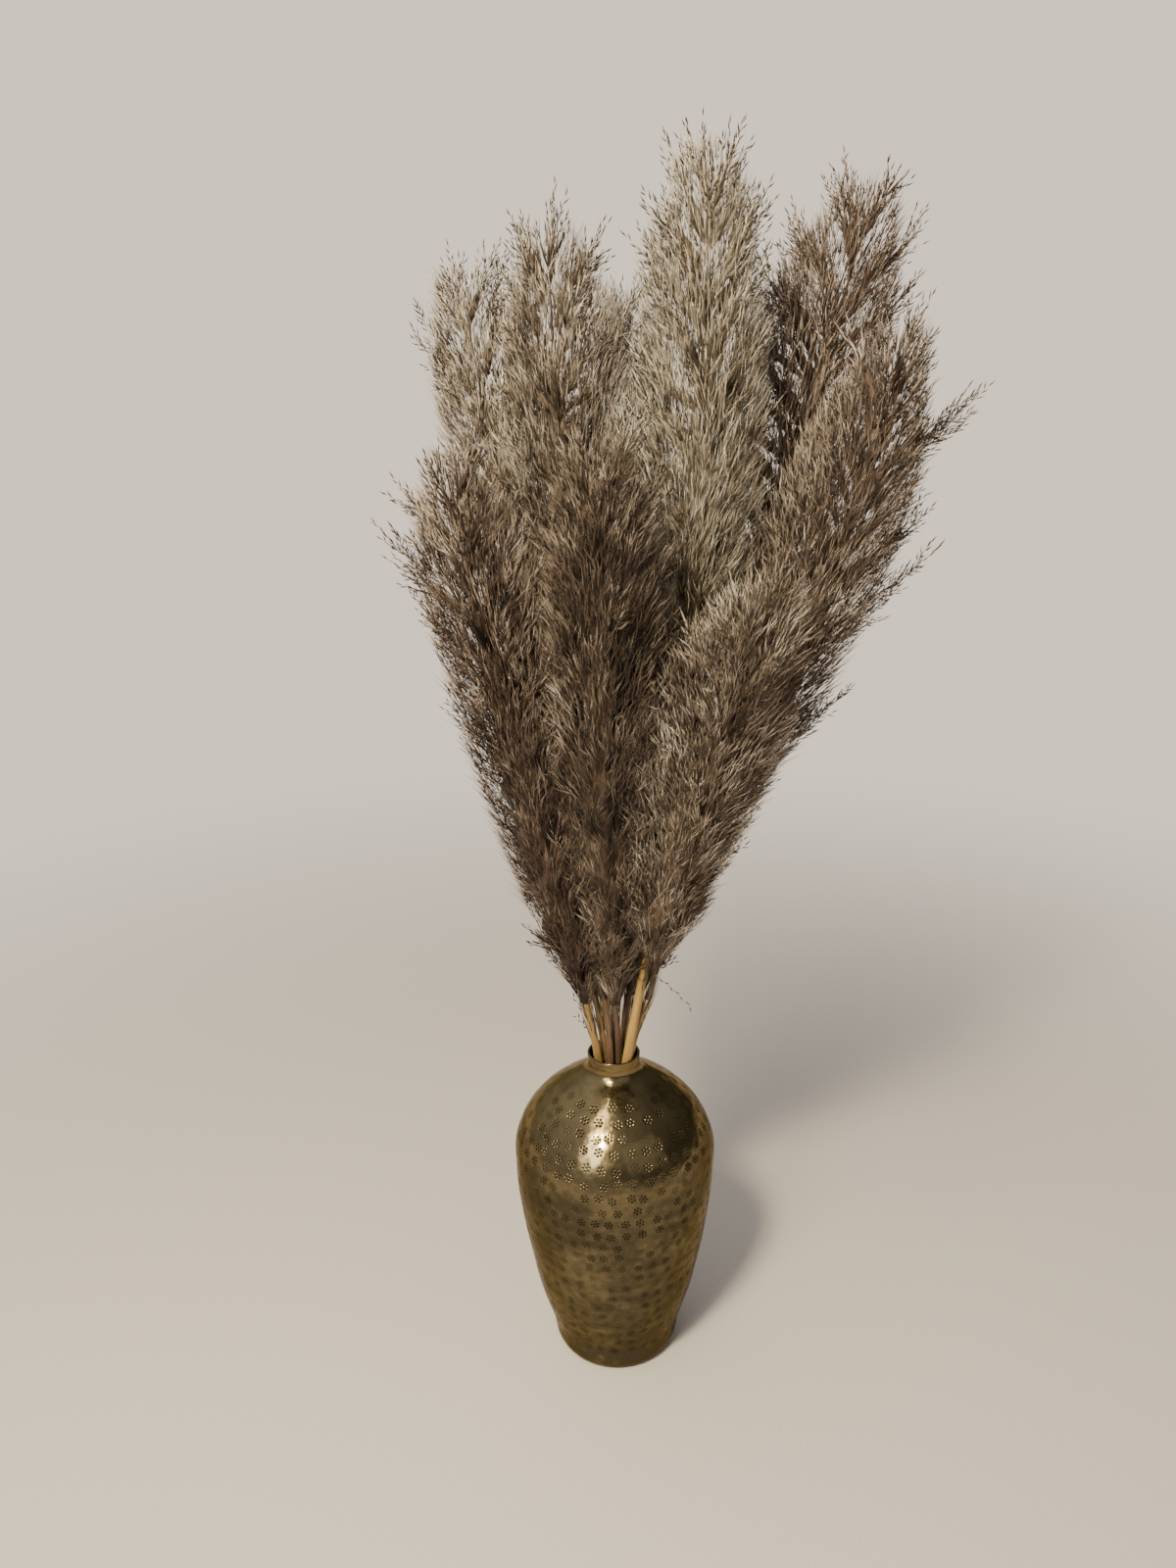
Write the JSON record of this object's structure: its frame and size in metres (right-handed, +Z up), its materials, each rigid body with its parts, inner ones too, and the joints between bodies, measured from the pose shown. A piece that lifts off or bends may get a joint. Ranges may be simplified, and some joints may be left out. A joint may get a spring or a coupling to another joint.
{
  "type": "vase of dried grass plumes",
  "caption": "Round-shouldered hammered metal vase with a narrow neck and a flat foot, holding a fan of tall feathery dried grass plumes on bare canes.",
  "frame": {"origin": "middle of the vase's flat foot, on the surface it stands on", "axes": "+Z up along the vase's axis; the plumes fan out along X, and the front is -Y"},
  "size_m": [0.4802, 0.3663, 1.167],
  "materials": {
    "brass": "hammered and punched, aged and darkened in the marks",
    "straw": "dry smooth cane, straw yellow to brown",
    "plume": "dry silky fluff, taupe with darker seed heads"
  },
  "bodies": {
    "root": {"vase": "brass", "stem_left_low": "straw", "stem_left_tall": "straw", "stem_mid_left": "straw", "stem_mid_back": "straw", "stem_mid_front": "straw", "stem_right_blond": "straw", "stem_right_front": "straw", "stem_right_tall": "straw", "stem_right_low": "straw", "plume_left_low": "plume", "plume_left_tall": "plume", "plume_mid_left": "plume", "plume_mid_back": "plume", "plume_mid_front": "plume", "plume_right_blond": "plume", "plume_right_front": "plume", "plume_right_tall": "plume", "plume_right_low": "plume"}
  },
  "joints": []
}
